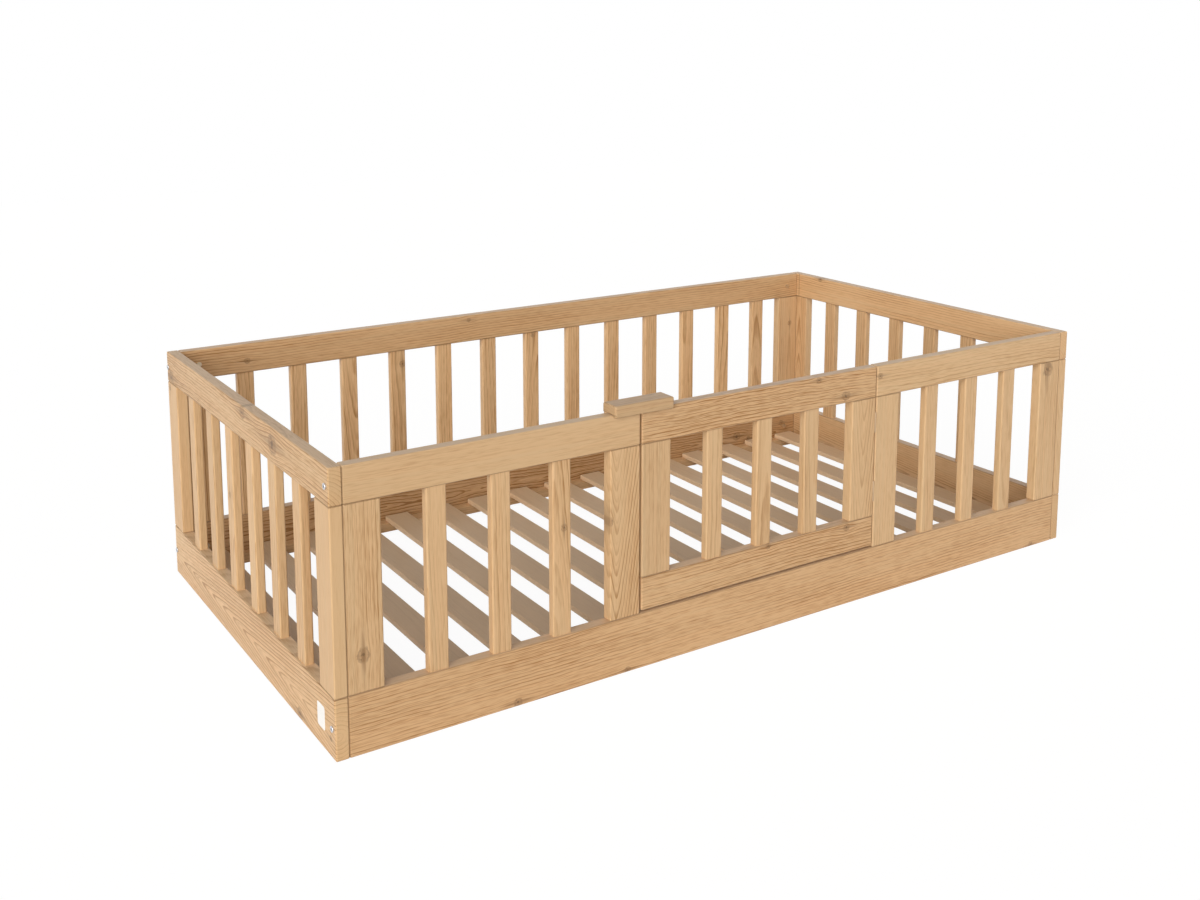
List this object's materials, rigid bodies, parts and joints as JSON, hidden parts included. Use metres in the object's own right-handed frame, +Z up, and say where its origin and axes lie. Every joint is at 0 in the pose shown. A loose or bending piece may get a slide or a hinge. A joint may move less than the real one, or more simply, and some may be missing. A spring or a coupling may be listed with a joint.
{
  "type": "toddler floor bed",
  "caption": "Low wooden floor bed with slatted rails all round, a swinging gate in the front held by a sliding latch, and a slatted base just above the floor.",
  "frame": {"origin": "under the middle of the bed's bounding box, on the floor", "axes": "+X along the bed's length, from the latch side's end towards the hinge side's end; +Y from the gate side to the back; +Z up"},
  "size_m": [1.6652, 0.869, 0.4775],
  "materials": {
    "pine_frame": "planed softwood with eased edges, clear satin lacquer",
    "pine_slats": "planed softwood, unfinished and a little grey",
    "latch_wood": "planed softwood with rounded edges, clear satin lacquer",
    "beech_pegs": "turned beech, unfinished",
    "bolt_steel": "bright plated steel",
    "hinge_steel": "bronzed steel"
  },
  "bodies": {
    "bed_frame": {"back_bottom_board": "pine_frame", "back_ledger": "pine_slats", "back_left_stile": "pine_frame", "back_right_stile": "pine_frame", "back_spindles": "pine_frame", "back_top_rail": "pine_frame", "corner_bolts": "bolt_steel", "corner_nuts": "bolt_steel", "fixed_hinge_leaves": "hinge_steel", "fixed_hinge_screws": "hinge_steel", "frame_dowels": "beech_pegs", "front_bottom_board": "pine_frame", "front_ledger": "pine_slats", "front_left_corner_stile": "pine_frame", "front_left_gate_stile": "pine_frame", "front_left_spindles": "pine_frame", "front_left_top_rail": "pine_frame", "front_right_corner_stile": "pine_frame", "front_right_gate_stile": "pine_frame", "front_right_spindles": "pine_frame", "front_right_top_rail": "pine_frame", "hinge_pins": "hinge_steel", "ledger_screws": "hinge_steel", "left_end_back_stile": "pine_frame", "left_end_bottom_board": "pine_frame", "left_end_front_stile": "pine_frame", "left_end_spindles": "pine_frame", "left_end_top_rail": "pine_frame", "right_end_back_stile": "pine_frame", "right_end_bottom_board": "pine_frame", "right_end_front_stile": "pine_frame", "right_end_spindles": "pine_frame", "right_end_top_rail": "pine_frame", "slat_01": "pine_slats", "slat_02": "pine_slats", "slat_03": "pine_slats", "slat_04": "pine_slats", "slat_05": "pine_slats", "slat_06": "pine_slats", "slat_07": "pine_slats", "slat_08": "pine_slats", "slat_09": "pine_slats", "slat_10": "pine_slats", "slat_11": "pine_slats", "slat_12": "pine_slats", "slat_13": "pine_slats", "slat_14": "pine_slats", "slat_15": "pine_slats", "slat_16": "pine_slats", "slat_pegs": "beech_pegs"},
    "gate": {"gate_top_rail": "pine_frame", "gate_bottom_rail": "pine_frame", "gate_latch_stile": "pine_frame", "gate_hinge_stile": "pine_frame", "gate_spindles": "pine_frame", "gate_dowels": "beech_pegs", "gate_hinge_leaves": "hinge_steel", "gate_hinge_screws": "hinge_steel", "latch_pin": "beech_pegs"},
    "latch": {"latch_block": "latch_wood"}
  },
  "joints": [
    {"name": "gate_hinge", "type": "hinge", "parent": "bed_frame", "child": "gate", "pos_m": [0.2723, -0.424, 0.2825], "axis": [0, 0, 1], "range_deg": [0, 110]},
    {"name": "latch_slide", "type": "slide", "parent": "gate", "child": "latch", "axis": [1, 0, 0], "range_m": [0, 0.062]}
  ]
}
